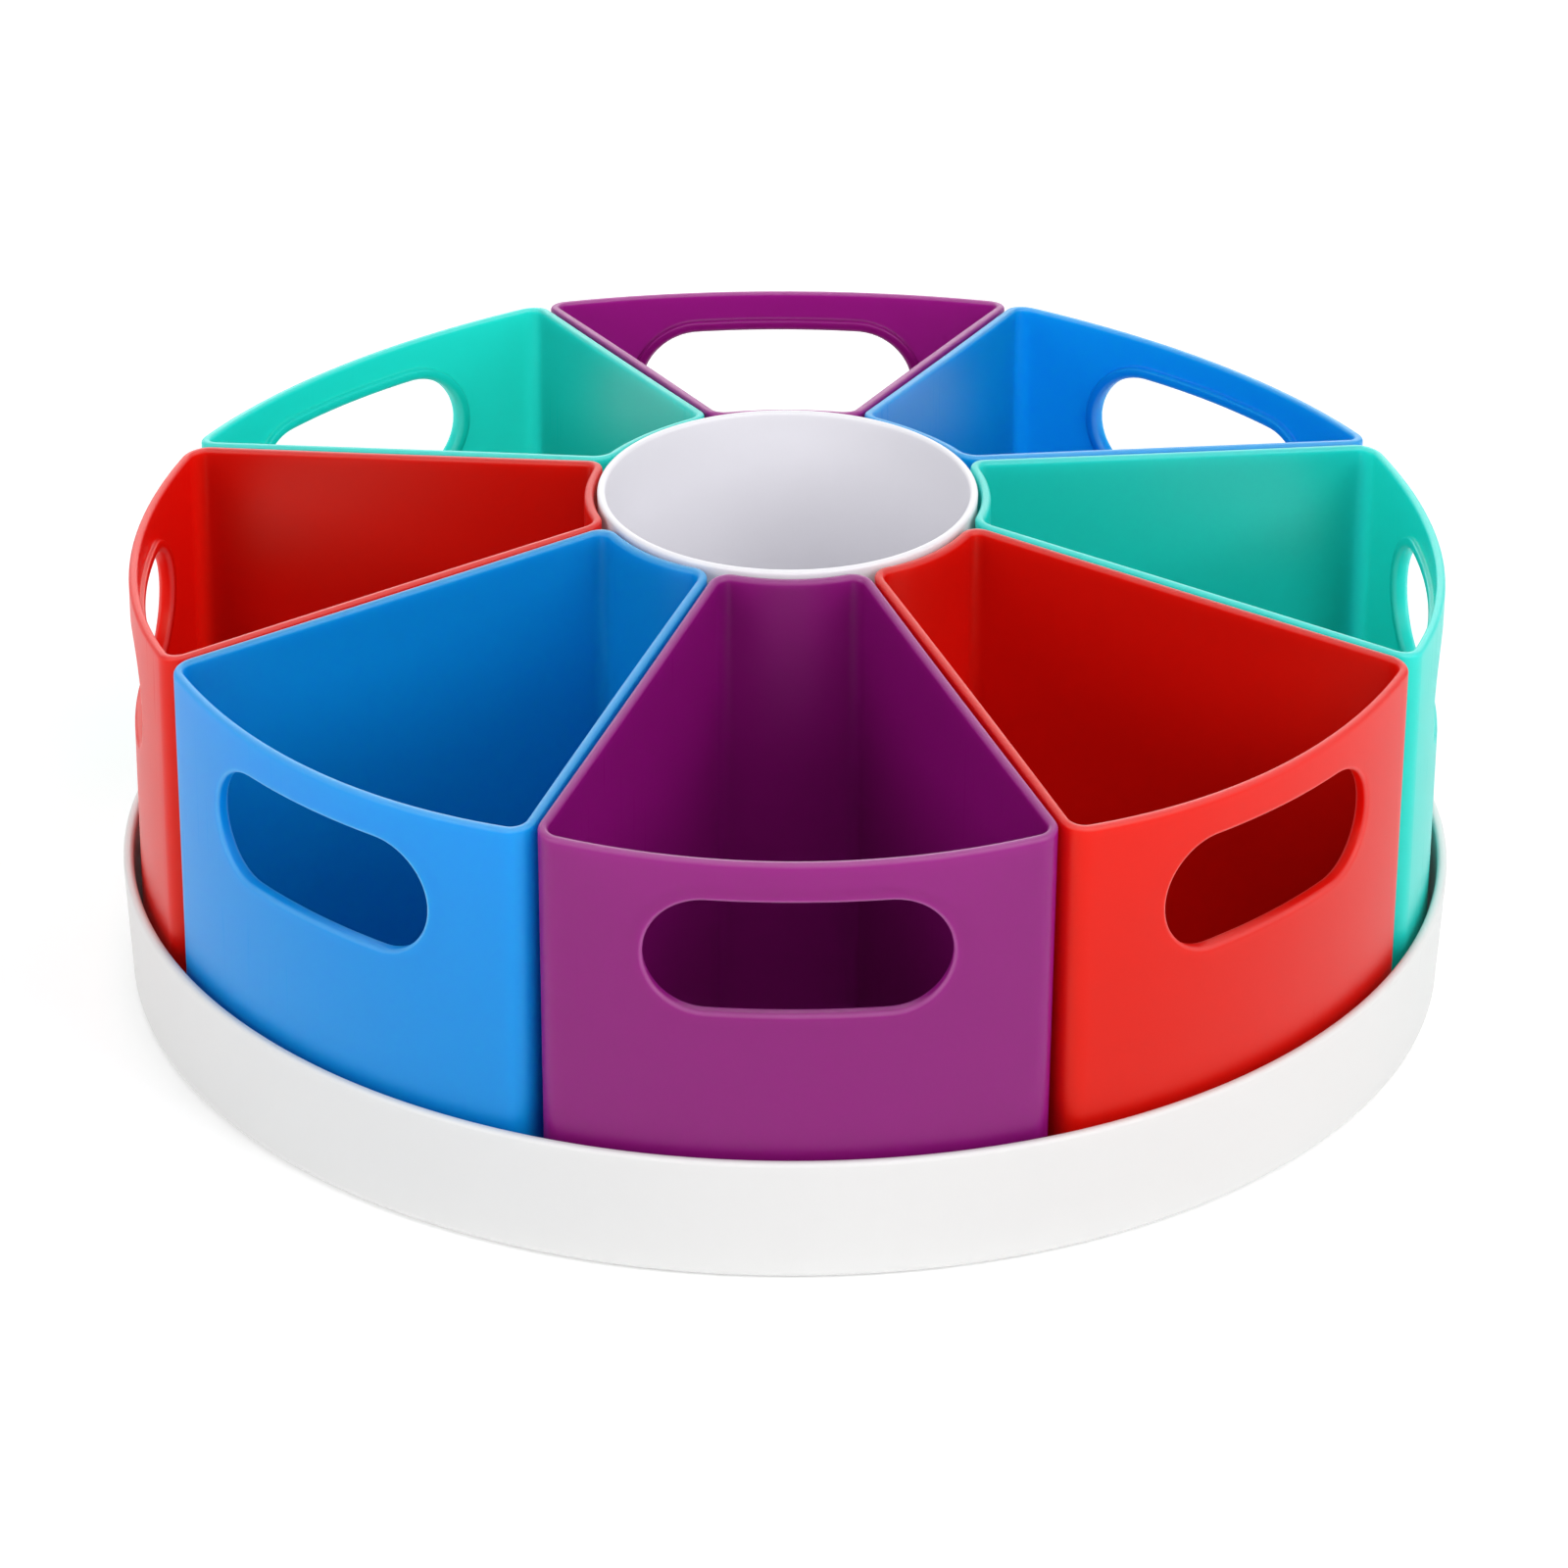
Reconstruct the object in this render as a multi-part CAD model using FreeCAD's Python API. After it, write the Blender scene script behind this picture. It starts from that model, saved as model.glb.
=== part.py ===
"""Round desk organizer: a low tray, eight lift-out wedge bins with finger slots, and a centre cup.

Millimetres, +Z up. The origin is the centre of the object on the surface that it stands on, and
the purple bin at the front faces -Y. Each separate piece is written to parts/NODE.step.
"""
import FreeCAD, Part
import math
import os

Vector = FreeCAD.Vector

# ---- Tray ----------------------------------------------------------------------------------
TRAY_RIM_RADIUS = 151.6      # over the rim; a tray of the 12 inch class
TRAY_HEIGHT = 29.8           # rim above the surface that the feet stand on
TRAY_WALL = 2.3
TRAY_FLOOR = 2.4
TRAY_WALL_LEAN = 1.4         # how much smaller the outside is at the bottom edge than at the rim
TRAY_EDGE_RADIUS = 2.0       # rounding of the outer bottom edge
TRAY_RIM_ROUNDING = 0.95
TRAY_INNER_FILLET = 1.6      # rounding where the wall meets the floor inside
TRAY_RECESS = 1.6            # how far the floor's underside lies above the skirt's lower edge
TRAY_SKIRT_BAND = 9.0        # width of the flat band that is left round the recess
RIB_COUNT = 8
RIB_WIDTH = 1.6
RIB_HUB_RADIUS = 30.0        # ring in the middle of the underside, where the ribs meet
CUP_RING_HEIGHT = 2.0        # low ring on the floor that keeps the cup in the middle
CUP_RING_WALL = 1.2
CUP_RING_CLEARANCE = 0.5     # between the ring and the cup's foot

# ---- Feet ----------------------------------------------------------------------------------
FOOT_RADIUS = 7.0
FOOT_FROM_SKIRT = 12.0       # between a foot's socket and the skirt's flat band
FOOT_STAND_OUT = 0.6         # how far a foot reaches below the skirt
FOOT_SOCKET_DEPTH = 1.2
FOOT_SOCKET_WALL = 1.6
FOOT_SOCKET_CLEARANCE = 0.1
FOOT_EDGE_RADIUS = 0.3

# ---- Bins ----------------------------------------------------------------------------------
BIN_TRAY_CLEARANCE = 1.7     # between a bin's front wall and the tray's rim
BIN_FRONT_HEIGHT = 99.8      # rim above the surface, in the middle of the front wall
BIN_RIM_SLOPE = 0.152        # rise of the rim plane towards the centre, per millimetre
BIN_WALL = 2.1
BIN_FLOOR = 2.2
BIN_GAP = 0.85               # between two neighbouring bins, level with the front rim
BIN_CUP_GAP = 0.9            # from the cup's rim to a bin's back wall, level with the front rim
BIN_DRAFT_DEG = 0.35         # taper of every wall, so that a bin leaves its mould and its place
BIN_FRONT_CORNER = 5.2
BIN_BACK_CORNER = 5.0
BIN_LEAST_CORNER = 0.8       # smallest corner that an outline moved inwards keeps
BIN_RIM_ROUNDING = 0.8
BIN_EDGE_RADIUS = 2.6        # outer bottom edge
BIN_INNER_FILLET = 2.4       # where the walls meet the floor inside
BIN_FOOT_RECESS = 0.8        # depth of the underside's recess
BIN_FOOT_RIM = 5.0           # width of the foot rim round it

# ---- Finger slot in a bin's front wall -------------------------------------------------------
SLOT_LENGTH = 65.6
SLOT_HEIGHT = 26.7
SLOT_BELOW_RIM = 9.2         # from the rim in the middle of the front wall to the slot's top
SLOT_LIP_WIDTH = 2.6         # lip moulded round the slot on the inside
SLOT_LIP_DEPTH = 1.4         # how far the lip stands in from the wall
SLOT_ROUNDING = 0.9

# ---- Cup -----------------------------------------------------------------------------------
CUP_RIM_RADIUS = 42.75
CUP_HEIGHT = 116.6           # rim above the surface
CUP_WALL = 1.8
CUP_FLOOR = 2.2
CUP_DRAFT_DEG = 1.0
CUP_EDGE_RADIUS = 2.4
CUP_INNER_FILLET = 2.4
CUP_RIM_ROUNDING = 0.7
CUP_FOOT_RECESS = 0.8
CUP_FOOT_RIM = 4.0

# Colour and place of each bin, counter-clockwise from the front as seen from above.
BINS = [
    "purple_bin_front",
    "red_bin_front_right",
    "teal_bin_right",
    "blue_bin_back_right",
    "purple_bin_back",
    "teal_bin_back_left",
    "red_bin_left",
    "blue_bin_front_left",
]
FRONT_DEG = -90.0
FOOT_PLACES = ["right", "back", "left", "front"]

# ---- Sizes that follow from the ones above ---------------------------------------------------
BIN_PITCH_DEG = 360.0 / len(BINS)
SKIRT_BOTTOM = FOOT_STAND_OUT
FLOOR_UNDERSIDE = SKIRT_BOTTOM + TRAY_RECESS
FLOOR_TOP = FLOOR_UNDERSIDE + TRAY_FLOOR
TRAY_BOTTOM_RADIUS = TRAY_RIM_RADIUS - TRAY_WALL_LEAN
TRAY_RECESS_RADIUS = TRAY_BOTTOM_RADIUS - TRAY_SKIRT_BAND
FOOT_CIRCLE_RADIUS = TRAY_RECESS_RADIUS - FOOT_FROM_SKIRT - FOOT_SOCKET_WALL - FOOT_RADIUS
BIN_DRAFT = math.tan(math.radians(BIN_DRAFT_DEG))
BIN_RADIUS_IN_TRAY = TRAY_RIM_RADIUS - TRAY_WALL - BIN_TRAY_CLEARANCE
BIN_RIM_RADIUS = BIN_RADIUS_IN_TRAY + (BIN_FRONT_HEIGHT - TRAY_HEIGHT) * BIN_DRAFT
BIN_BACK_RADIUS = CUP_RIM_RADIUS + BIN_CUP_GAP
BIN_TOP_Z = BIN_FRONT_HEIGHT + BIN_RIM_SLOPE * BIN_RIM_RADIUS
SLOT_CENTRE_Z = BIN_FRONT_HEIGHT - SLOT_BELOW_RIM - SLOT_HEIGHT / 2
CUP_BOTTOM_RADIUS = CUP_RIM_RADIUS - (CUP_HEIGHT - FLOOR_TOP) * math.tan(math.radians(CUP_DRAFT_DEG))
MARGIN = 10.0                # how far a cutting shape runs past what it cuts


def revolve(points):
    """Solid of revolution about Z from a closed outline of (radius, height) points."""
    outline = Part.makePolygon([Vector(r, 0, z) for r, z in points + points[:1]])
    return Part.Face(outline).revolve(Vector(0, 0, 0), Vector(0, 0, 1), 360)


def cylinder(radius, low, high, x=0.0, y=0.0):
    return Part.makeCylinder(radius, high - low, Vector(x, y, low))


def edges_at_height(shape, z):
    """Edges that lie flat at this height."""
    return [e for e in shape.Edges if max(abs(p.z - z) for p in e.discretize(5)) < 0.001]


def circles_at(shape, radius, height, tolerance=0.01):
    """The circular edges of a shape with this radius, lying at this height about the Z axis."""
    found = []
    for edge in shape.Edges:
        curve = edge.Curve
        if not isinstance(curve, Part.Circle):
            continue
        centre = curve.Center
        on_axis = math.hypot(centre.x, centre.y) < tolerance
        if on_axis and abs(curve.Radius - radius) < tolerance and abs(centre.z - height) < tolerance:
            found.append(edge)
    return found


# ---- Bins ------------------------------------------------------------------------------------

def wedge_wire(z, wall):
    """Outline at height z of a wedge that lies a wall's thickness inside the bin's outside.

    The bin lies along +X. Two arcs about the object's centre and two straight sides, with a
    tangent arc at each corner.
    """
    inset = wall + (BIN_FRONT_HEIGHT - z) * BIN_DRAFT
    outer = BIN_RIM_RADIUS - inset
    inner = BIN_BACK_RADIUS + inset
    side = BIN_GAP / 2 + inset
    half = math.radians(BIN_PITCH_DEG / 2)
    front_corner = max(BIN_FRONT_CORNER - wall, BIN_LEAST_CORNER)
    back_corner = max(BIN_BACK_CORNER - wall, BIN_LEAST_CORNER)

    def place(along, across, sign):
        """A point given along and across the boundary plane between two bins."""
        x = along * math.cos(half) + across * math.sin(half)
        y = along * math.sin(half) - across * math.cos(half)
        return Vector(x, sign * y, z)

    front_across = side + front_corner
    front_along = math.sqrt((outer - front_corner) ** 2 - front_across ** 2)
    back_across = side + back_corner
    back_along = math.sqrt((inner + back_corner) ** 2 - back_across ** 2)
    to_outer = outer / (outer - front_corner)
    to_inner = inner / (inner + back_corner)

    def corner_middle(along, across, corner, towards, sign):
        """The middle point of a corner arc, from its two tangent points' directions."""
        centre = place(along, across, sign)
        side_point = place(along, side, sign)
        bisector = (side_point - centre).normalize() + (towards - centre).normalize()
        return centre + bisector.normalize() * corner

    edges = []
    arc_ends = {}
    for sign in (1, -1):
        front_centre = place(front_along, front_across, sign)
        front_round = Vector(front_centre.x * to_outer, front_centre.y * to_outer, z)
        front_side = place(front_along, side, sign)
        back_centre = place(back_along, back_across, sign)
        back_round = Vector(back_centre.x * to_inner, back_centre.y * to_inner, z)
        back_side = place(back_along, side, sign)
        front_middle = corner_middle(front_along, front_across, front_corner, front_round, sign)
        back_middle = corner_middle(back_along, back_across, back_corner, back_round, sign)
        run = [
            Part.Arc(front_round, front_middle, front_side).toShape(),
            Part.LineSegment(front_side, back_side).toShape(),
            Part.Arc(back_side, back_middle, back_round).toShape(),
        ]
        arc_ends[sign] = (front_round, back_round)
        if sign == 1:
            edges += run
            edges.append(None)
        else:
            edges += run[::-1]
    inner_arc = Part.Arc(arc_ends[1][1], Vector(inner, 0, z), arc_ends[-1][1]).toShape()
    outer_arc = Part.Arc(arc_ends[-1][0], Vector(outer, 0, z), arc_ends[1][0]).toShape()
    edges[edges.index(None)] = inner_arc
    edges.append(outer_arc)
    return Part.Wire(edges)


def wedge_loft(low, high, wall):
    """Drafted wedge between two heights; its sides lie a wall's thickness inside the bin."""
    return Part.makeLoft([wedge_wire(z, wall) for z in (low, high)], True, True)


def above_rim_plane():
    """Everything above the sloping plane that the rim of a bin along +X lies in."""
    far = BIN_RIM_RADIUS + MARGIN
    top = BIN_TOP_Z + MARGIN

    def rim_z(x):
        return BIN_FRONT_HEIGHT + BIN_RIM_SLOPE * (BIN_RIM_RADIUS - x)

    points = [Vector(0, -far, rim_z(0)), Vector(far, -far, rim_z(far)), Vector(far, -far, top),
              Vector(0, -far, top)]
    return Part.Face(Part.makePolygon(points + points[:1])).extrude(Vector(0, 2 * far, 0))


def stadium_prism(outset):
    """Bar along X with the finger slot's section, widened by outset on every side."""
    radius = SLOT_HEIGHT / 2 + outset
    reach = (SLOT_LENGTH - SLOT_HEIGHT) / 2
    start = BIN_RIM_RADIUS * math.cos(math.radians(BIN_PITCH_DEG / 2)) - MARGIN
    z = SLOT_CENTRE_Z
    edges = [
        Part.LineSegment(Vector(start, -reach, z + radius), Vector(start, reach, z + radius)).toShape(),
        Part.Arc(Vector(start, reach, z + radius), Vector(start, reach + radius, z),
                 Vector(start, reach, z - radius)).toShape(),
        Part.LineSegment(Vector(start, reach, z - radius), Vector(start, -reach, z - radius)).toShape(),
        Part.Arc(Vector(start, -reach, z - radius), Vector(start, -reach - radius, z),
                 Vector(start, -reach, z + radius)).toShape(),
    ]
    return Part.Face(Part.Wire(edges)).extrude(Vector(BIN_RIM_RADIUS + MARGIN - start, 0, 0))


def edges_on_rim_plane(shape):
    """Edges that lie in the sloping rim plane."""
    found = []
    for edge in shape.Edges:
        points = edge.discretize(5)
        off = [p.z - BIN_FRONT_HEIGHT - BIN_RIM_SLOPE * (BIN_RIM_RADIUS - p.x) for p in points]
        if max(abs(value) for value in off) < 0.001:
            found.append(edge)
    return found


def slot_edges(shape):
    """Edges round the finger slot: those whose points all lie on the slot's outline."""
    radius = SLOT_HEIGHT / 2
    reach = (SLOT_LENGTH - SLOT_HEIGHT) / 2
    found = []
    for edge in shape.Edges:
        points = edge.discretize(5)
        along = [math.hypot(max(abs(p.y) - reach, 0), p.z - SLOT_CENTRE_Z) for p in points]
        level = max(p.x for p in points) - min(p.x for p in points)
        on_outline = max(abs(value - radius) for value in along) < 0.01
        across = level > 1.0 and max(abs(points[0].y - p.y) for p in points) < 0.01
        if on_outline and not across:
            found.append(edge)
    return found


def make_bin():
    """One wedge bin lying along +X."""
    outside = wedge_loft(FLOOR_TOP, BIN_TOP_Z, 0)
    outside = outside.makeFillet(BIN_EDGE_RADIUS, edges_at_height(outside, FLOOR_TOP))
    floor_z = FLOOR_TOP + BIN_FLOOR
    hollow = wedge_loft(floor_z, BIN_TOP_Z + MARGIN, BIN_WALL)
    hollow = hollow.makeFillet(BIN_INNER_FILLET, edges_at_height(hollow, floor_z))
    lip_hollow = wedge_loft(floor_z, BIN_TOP_Z + MARGIN, BIN_WALL + SLOT_LIP_DEPTH)
    lip = stadium_prism(SLOT_LIP_WIDTH).common(outside).cut(lip_hollow)
    foot_recess = wedge_loft(FLOOR_TOP, FLOOR_TOP + BIN_FOOT_RECESS, BIN_FOOT_RIM)
    body = outside.cut(hollow).cut(above_rim_plane())
    body = body.makeFillet(BIN_RIM_ROUNDING, edges_on_rim_plane(body))
    body = body.fuse(lip).cut(foot_recess).cut(stadium_prism(0))
    return body.makeFillet(SLOT_ROUNDING, slot_edges(body))


# ---- Cup -------------------------------------------------------------------------------------

def make_cup():
    """Round centre cup with a foot ring."""
    slope = math.tan(math.radians(CUP_DRAFT_DEG))
    floor_z = FLOOR_TOP + CUP_FLOOR
    foot_radius = CUP_BOTTOM_RADIUS - CUP_FOOT_RIM
    inside_bottom = CUP_BOTTOM_RADIUS + CUP_FLOOR * slope - CUP_WALL
    inside_top = CUP_RIM_RADIUS - CUP_WALL
    cup = revolve([
        (0, FLOOR_TOP + CUP_FOOT_RECESS), (foot_radius, FLOOR_TOP + CUP_FOOT_RECESS),
        (foot_radius, FLOOR_TOP), (CUP_BOTTOM_RADIUS, FLOOR_TOP),
        (CUP_RIM_RADIUS, CUP_HEIGHT), (inside_top, CUP_HEIGHT),
        (inside_bottom, floor_z), (0, floor_z),
    ])
    rim = circles_at(cup, CUP_RIM_RADIUS, CUP_HEIGHT) + circles_at(cup, inside_top, CUP_HEIGHT)
    cup = cup.makeFillet(CUP_RIM_ROUNDING, rim)
    cup = cup.makeFillet(CUP_INNER_FILLET, circles_at(cup, inside_bottom, floor_z))
    return cup.makeFillet(CUP_EDGE_RADIUS, circles_at(cup, CUP_BOTTOM_RADIUS, FLOOR_TOP))


# ---- Tray and feet ---------------------------------------------------------------------------

def foot_centres():
    """(x, y) of each foot, counter-clockwise from +X as seen from above."""
    step = 2 * math.pi / len(FOOT_PLACES)
    return [(FOOT_CIRCLE_RADIUS * math.cos(i * step), FOOT_CIRCLE_RADIUS * math.sin(i * step))
            for i in range(len(FOOT_PLACES))]


def make_tray_shell():
    """The tray's floor, wall and cup ring, as one body of revolution."""
    inner_rim = TRAY_RIM_RADIUS - TRAY_WALL
    inner_bottom = TRAY_BOTTOM_RADIUS - TRAY_WALL
    ring_inside = CUP_BOTTOM_RADIUS + CUP_RING_CLEARANCE
    ring_outside = ring_inside + CUP_RING_WALL
    ring_top = FLOOR_TOP + CUP_RING_HEIGHT
    shell = revolve([
        (0, FLOOR_UNDERSIDE), (TRAY_RECESS_RADIUS, FLOOR_UNDERSIDE),
        (TRAY_RECESS_RADIUS, SKIRT_BOTTOM), (TRAY_BOTTOM_RADIUS, SKIRT_BOTTOM),
        (TRAY_RIM_RADIUS, TRAY_HEIGHT),
        (inner_rim, TRAY_HEIGHT), (inner_bottom, FLOOR_TOP), (ring_outside, FLOOR_TOP),
        (ring_outside, ring_top), (ring_inside, ring_top), (ring_inside, FLOOR_TOP), (0, FLOOR_TOP),
    ])
    rim = circles_at(shell, TRAY_RIM_RADIUS, TRAY_HEIGHT) + circles_at(shell, inner_rim, TRAY_HEIGHT)
    shell = shell.makeFillet(TRAY_RIM_ROUNDING, rim)
    shell = shell.makeFillet(TRAY_INNER_FILLET, circles_at(shell, inner_bottom, FLOOR_TOP))
    return shell.makeFillet(TRAY_EDGE_RADIUS, circles_at(shell, TRAY_BOTTOM_RADIUS, SKIRT_BOTTOM))


def make_underside_ribs():
    """Hub ring and radial ribs in the recess under the tray's floor."""
    hub = cylinder(RIB_HUB_RADIUS, SKIRT_BOTTOM, FLOOR_UNDERSIDE)
    hub = hub.cut(cylinder(RIB_HUB_RADIUS - RIB_WIDTH, SKIRT_BOTTOM, FLOOR_UNDERSIDE))
    pieces = [hub]
    for i in range(RIB_COUNT):
        rib = Part.makeBox(TRAY_RECESS_RADIUS - RIB_HUB_RADIUS + RIB_WIDTH, RIB_WIDTH, TRAY_RECESS,
                           Vector(RIB_HUB_RADIUS - RIB_WIDTH / 2, -RIB_WIDTH / 2, SKIRT_BOTTOM))
        rib.rotate(Vector(0, 0, 0), Vector(0, 0, 1), (i + 0.5) * 360.0 / RIB_COUNT)
        pieces.append(rib)
    return pieces


def make_tray():
    """Tray with its ribs and a socket for each foot."""
    socket_radius = FOOT_RADIUS + FOOT_SOCKET_CLEARANCE
    bosses = [cylinder(socket_radius + FOOT_SOCKET_WALL, SKIRT_BOTTOM, FLOOR_UNDERSIDE, x, y)
              for x, y in foot_centres()]
    tray = make_tray_shell().fuse(make_underside_ribs() + bosses)
    for x, y in foot_centres():
        tray = tray.cut(cylinder(socket_radius, 0, SKIRT_BOTTOM + FOOT_SOCKET_DEPTH, x, y))
    return tray.removeSplitter()


def make_foot(x, y):
    """A round non-slip pad, seated in its socket."""
    foot = cylinder(FOOT_RADIUS, 0, SKIRT_BOTTOM + FOOT_SOCKET_DEPTH, x, y)
    return foot.makeFillet(FOOT_EDGE_RADIUS, edges_at_height(foot, 0))


def save(shape, node):
    """Write one piece as a single closed solid."""
    if len(shape.Solids) != 1 or not shape.isValid():
        raise ValueError("%s is not one valid solid" % node)
    shape.Solids[0].exportStep("parts/%s.step" % node)


def main():
    os.makedirs("parts", exist_ok=True)
    save(make_tray(), "tray")
    for place, (x, y) in zip(FOOT_PLACES, foot_centres()):
        save(make_foot(x, y), "rubber_foot_" + place)
    save(make_cup(), "center_cup")
    pattern = make_bin()
    for index, node in enumerate(BINS):
        piece = pattern.copy()
        piece.rotate(Vector(0, 0, 0), Vector(0, 0, 1), FRONT_DEG + index * BIN_PITCH_DEG)
        save(piece, node)


main()
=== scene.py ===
"""Looks of a round desk organizer: eight lift-out wedge bins, a centre cup and a low tray."""
import math

import bmesh
import bpy
import numpy as np
from bpy.props import FloatProperty, FloatVectorProperty, IntProperty, PointerProperty
from mathutils import Matrix, Vector


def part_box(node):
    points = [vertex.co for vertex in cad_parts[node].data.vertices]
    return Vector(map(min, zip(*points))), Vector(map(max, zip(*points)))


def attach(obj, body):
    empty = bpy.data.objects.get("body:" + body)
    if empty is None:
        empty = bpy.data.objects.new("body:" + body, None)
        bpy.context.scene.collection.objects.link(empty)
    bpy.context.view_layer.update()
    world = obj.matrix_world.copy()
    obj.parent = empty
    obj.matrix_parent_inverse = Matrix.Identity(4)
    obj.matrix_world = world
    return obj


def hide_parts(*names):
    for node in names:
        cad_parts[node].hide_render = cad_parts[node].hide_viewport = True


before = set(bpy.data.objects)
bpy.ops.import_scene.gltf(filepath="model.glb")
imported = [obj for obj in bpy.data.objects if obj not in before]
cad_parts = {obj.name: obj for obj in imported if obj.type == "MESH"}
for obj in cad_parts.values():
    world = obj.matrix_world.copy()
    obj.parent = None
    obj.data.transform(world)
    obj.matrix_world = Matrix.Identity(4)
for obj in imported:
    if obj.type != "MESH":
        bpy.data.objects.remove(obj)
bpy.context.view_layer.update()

bl_info = {
    "name": "Round Desk Organizer",
    "version": (1, 0, 0),
    "blender": (4, 5, 0),
    "location": "View3D > Sidebar > Organizer",
    "description": "Builds the bins, cup, tray and feet of a round desk organizer in moulded plastic",
    "category": "Object",
}

# ---- The frame: where each piece stands
# Each bin's node, counter-clockwise from the front as seen from above, with its body and colour.
BINS = [
    ("purple_bin_front", "front_bin", "purple"),
    ("red_bin_front_right", "front_right_bin", "red"),
    ("teal_bin_right", "right_bin", "teal"),
    ("blue_bin_back_right", "back_right_bin", "blue"),
    ("purple_bin_back", "back_bin", "purple"),
    ("teal_bin_back_left", "back_left_bin", "teal"),
    ("red_bin_left", "left_bin", "red"),
    ("blue_bin_front_left", "front_left_bin", "blue"),
]
FOOT_NODES = ["rubber_foot_right", "rubber_foot_back", "rubber_foot_left", "rubber_foot_front"]
HALF_PITCH = math.pi / len(BINS)
FIRST_TURN = -math.pi / 2  # the first bin faces -Y
BIN_LOW, BIN_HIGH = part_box("purple_bin_front")
CUP_LOW, CUP_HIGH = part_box("center_cup")
TRAY_LOW, TRAY_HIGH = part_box("tray")
FOOT_LOW, FOOT_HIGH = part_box("rubber_foot_right")
FOOT_PLACE = ((FOOT_LOW.x + FOOT_HIGH.x) / 2, 0.0, 0.0)


# ---- Sizes and colours that a user would change

def length(name, description, default):
    """A length property, in metres."""
    return FloatProperty(name=name, description=description, default=default, min=0.0,
                         precision=5, subtype="DISTANCE", unit="LENGTH")


def paint(name, description, default):
    """A colour property, as it is seen on a display."""
    return FloatVectorProperty(name=name, description=description, default=default, size=3,
                               min=0.0, max=1.0, subtype="COLOR_GAMMA")


def angle(name, description, degrees, **limits):
    """An angle property, with its default given in degrees."""
    return FloatProperty(name=name, description=description, default=math.radians(degrees),
                         subtype="ANGLE", unit="ROTATION", **limits)


class OrganizerBinSizes(bpy.types.PropertyGroup):
    """Sizes of one wedge bin."""
    front_height: length("Front height", "Rim height in the middle of the front wall", 0.0998)
    rim_slope: FloatProperty(name="Rim slope", description="Rise of the rim towards the cup per metre",
                             default=0.152, min=0.0, max=0.5)
    draft: angle("Draft", "Taper of every wall", 0.35, min=0.0, max=0.1)
    wall: length("Wall", "Wall thickness", 0.0021)
    floor: length("Floor", "Floor thickness", 0.0022)
    gap: length("Gap", "Space between two bins at the front rim", 0.00085)
    cup_gap: length("Cup gap", "Space between a bin's back wall and the cup", 0.0009)
    front_corner: length("Front corner", "Outer radius of the two front corners", 0.0052)
    back_corner: length("Back corner", "Outer radius of the two back corners", 0.0050)
    rim_rounding: length("Rim rounding", "Rounding of the rim's two edges", 0.0009)
    bottom_rounding: length("Bottom rounding", "Rounding of the outer bottom edge", 0.0026)
    inner_fillet: length("Inner fillet", "Rounding where the walls meet the floor inside", 0.0024)
    foot_rim: length("Foot rim", "Width of the rim that the bin stands on", 0.0050)
    foot_recess: length("Foot recess", "Depth of the hollow inside the foot rim", 0.0008)
    bow: length("Bow", "How far the middle of a long side bows inwards at the rim", 0.0002)
    slot_length: length("Slot length", "Length of the finger slot", 0.0656)
    slot_height: length("Slot height", "Height of the finger slot", 0.0267)
    slot_below_rim: length("Slot below rim", "From the rim to the top of the slot", 0.0092)
    slot_rounding: length("Slot rounding", "Rounding of the slot's edges", 0.0010)
    lip_width: length("Lip width", "Width of the lip round the slot inside", 0.0026)
    lip_depth: length("Lip depth", "How far the lip stands in from the wall", 0.0014)
    lip_rounding: length("Lip rounding", "Rounding of the lip's outer edge", 0.0005)


class OrganizerCupSizes(bpy.types.PropertyGroup):
    """Sizes of the centre cup."""
    wall: length("Wall", "Wall thickness", 0.0018)
    floor: length("Floor", "Floor thickness", 0.0022)
    draft: angle("Draft", "Taper of the wall", 1.0, min=0.0, max=0.1)
    rim_rounding: length("Rim rounding", "Rounding of the rim's two edges", 0.0008)
    bottom_rounding: length("Bottom rounding", "Rounding of the outer bottom edge", 0.0024)
    foot_rim: length("Foot rim", "Width of the rim that the cup stands on", 0.0040)
    foot_recess: length("Foot recess", "Depth of the hollow inside the foot rim", 0.0008)


class OrganizerTraySizes(bpy.types.PropertyGroup):
    """Sizes of the tray and of what is under it."""
    wall: length("Wall", "Wall thickness", 0.0023)
    lean: length("Lean", "How much smaller the outside is at the bottom than at the rim", 0.0014)
    rim_rounding: length("Rim rounding", "Rounding of the rim's two edges", 0.0010)
    bottom_rounding: length("Bottom rounding", "Rounding of the outer bottom edge", 0.0020)
    inner_fillet: length("Inner fillet", "Rounding where the wall meets the floor inside", 0.0016)
    skirt_band: length("Skirt band", "Width of the flat band round the underside", 0.0090)
    recess: length("Recess", "Depth of the hollow under the floor", 0.0016)
    ring_height: length("Ring height", "Height of the ring that locates the cup", 0.0020)
    ring_wall: length("Ring wall", "Thickness of that ring", 0.0012)
    ring_clearance: length("Ring clearance", "Space between the ring and the cup", 0.0005)
    rib_width: length("Rib width", "Width of the ribs under the floor", 0.0016)
    hub_radius: length("Hub radius", "Ring that the ribs start from", 0.0300)
    rib_count: IntProperty(name="Ribs", description="Ribs under the floor", default=8, min=3, max=36)
    socket_wall: length("Socket wall", "Wall of the socket round each foot", 0.0016)


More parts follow.
